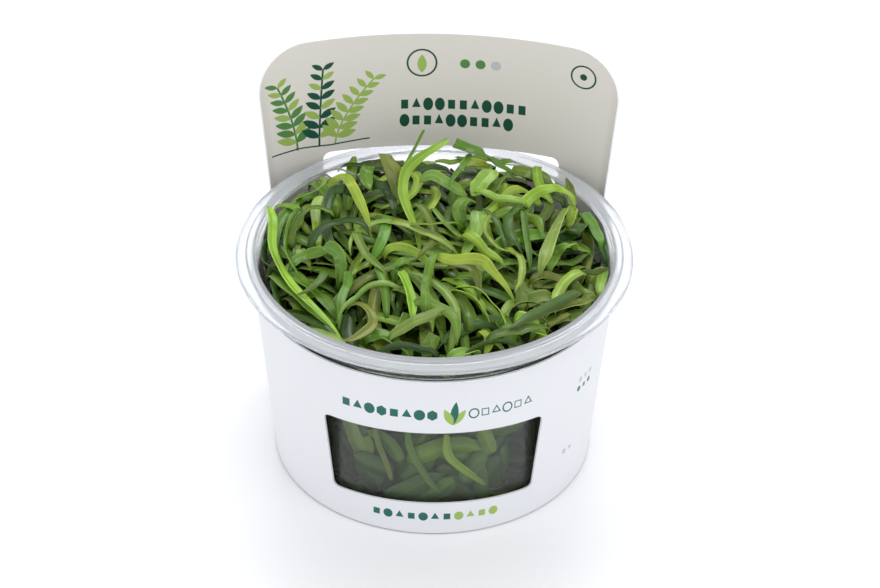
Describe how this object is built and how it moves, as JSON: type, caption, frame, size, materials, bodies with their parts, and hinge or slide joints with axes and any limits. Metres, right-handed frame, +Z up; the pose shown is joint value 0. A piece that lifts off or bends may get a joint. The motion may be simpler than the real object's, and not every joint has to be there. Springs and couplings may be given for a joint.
{
  "type": "stargrass tissue culture cup",
  "caption": "Stargrass shoots packed in a clear flanged culture cup, held in a white card sleeve with a window in front and a raised header at the back.",
  "frame": {"origin": "middle of the cup's flat base, on the surface it stands on", "axes": "+Z up the cup's axis, -Y out of the sleeve's window, +X to the right seen from the window"},
  "size_m": [0.1, 0.1, 0.0919],
  "materials": {
    "clear_plastic": "clear, slightly milky, smooth",
    "white_card": "coated, satin",
    "leaf_mass": "wet leaves",
    "leaf_lime": "wet, glossy",
    "leaf_green": "wet, glossy",
    "leaf_dark": "wet, glossy",
    "leaf_olive": "wet, glossy",
    "leaf_pale": "wet, glossy"
  },
  "bodies": {
    "root": {"cup": "clear_plastic", "sleeve": "white_card", "packed_leaves": "leaf_mass", "leaf_left_long": "leaf_lime", "leaf_left_broad": "leaf_green", "leaf_left_fork": "leaf_green", "leaf_left_shelf": "leaf_green", "leaf_left_droop": "leaf_green", "leaf_dark_hoop": "leaf_dark", "leaf_hoop_arch": "leaf_lime", "leaf_left_upright": "leaf_lime", "leaf_left_back_lying": "leaf_green", "leaf_knob": "leaf_green", "leaf_dark_arch": "leaf_dark", "leaf_cut_olive": "leaf_olive", "leaf_grass_tip": "leaf_green", "leaf_tall_arc": "leaf_lime", "leaf_back_fold": "leaf_pale", "leaf_back_dark": "leaf_green", "leaf_back_yellow": "leaf_lime", "leaf_right_back": "leaf_olive", "leaf_up_leaf": "leaf_green", "leaf_wide_back": "leaf_pale", "leaf_oval_knob": "leaf_green", "leaf_pale_oval": "leaf_pale", "leaf_right_small_hoop": "leaf_lime", "leaf_right_arch": "leaf_lime", "leaf_right_oval": "leaf_lime", "leaf_right_blade": "leaf_pale", "leaf_right_pale": "leaf_pale", "leaf_right_lying": "leaf_green", "leaf_right_edge_twist": "leaf_green", "leaf_right_dark_broad": "leaf_dark", "leaf_right_rim_curl": "leaf_dark", "leaf_right_rim_bright": "leaf_lime", "leaf_right_hook": "leaf_olive", "leaf_right_v": "leaf_olive", "leaf_centre_arch": "leaf_green", "leaf_centre_flag": "leaf_lime", "leaf_centre_left_v": "leaf_green", "leaf_centre_branch": "leaf_lime", "leaf_centre_claw": "leaf_lime", "leaf_claw_droop": "leaf_olive", "leaf_back_stalk": "leaf_green", "leaf_right_tip": "leaf_olive", "leaf_front_ring": "leaf_olive", "leaf_front_left_lying": "leaf_green", "leaf_front_grey": "leaf_olive", "leaf_front_stub": "leaf_green", "leaf_front_hook": "leaf_lime", "leaf_front_oval": "leaf_pale", "leaf_front_glassy": "leaf_green", "leaf_front_bright": "leaf_lime", "leaf_front_sprout": "leaf_olive", "leaf_right_olive": "leaf_olive", "leaf_right_olive_arch": "leaf_olive", "leaf_front_right_lying": "leaf_pale", "leaf_window_strip_left": "leaf_olive", "leaf_window_strip_middle": "leaf_green", "leaf_window_strip_right": "leaf_lime"}
  },
  "joints": []
}
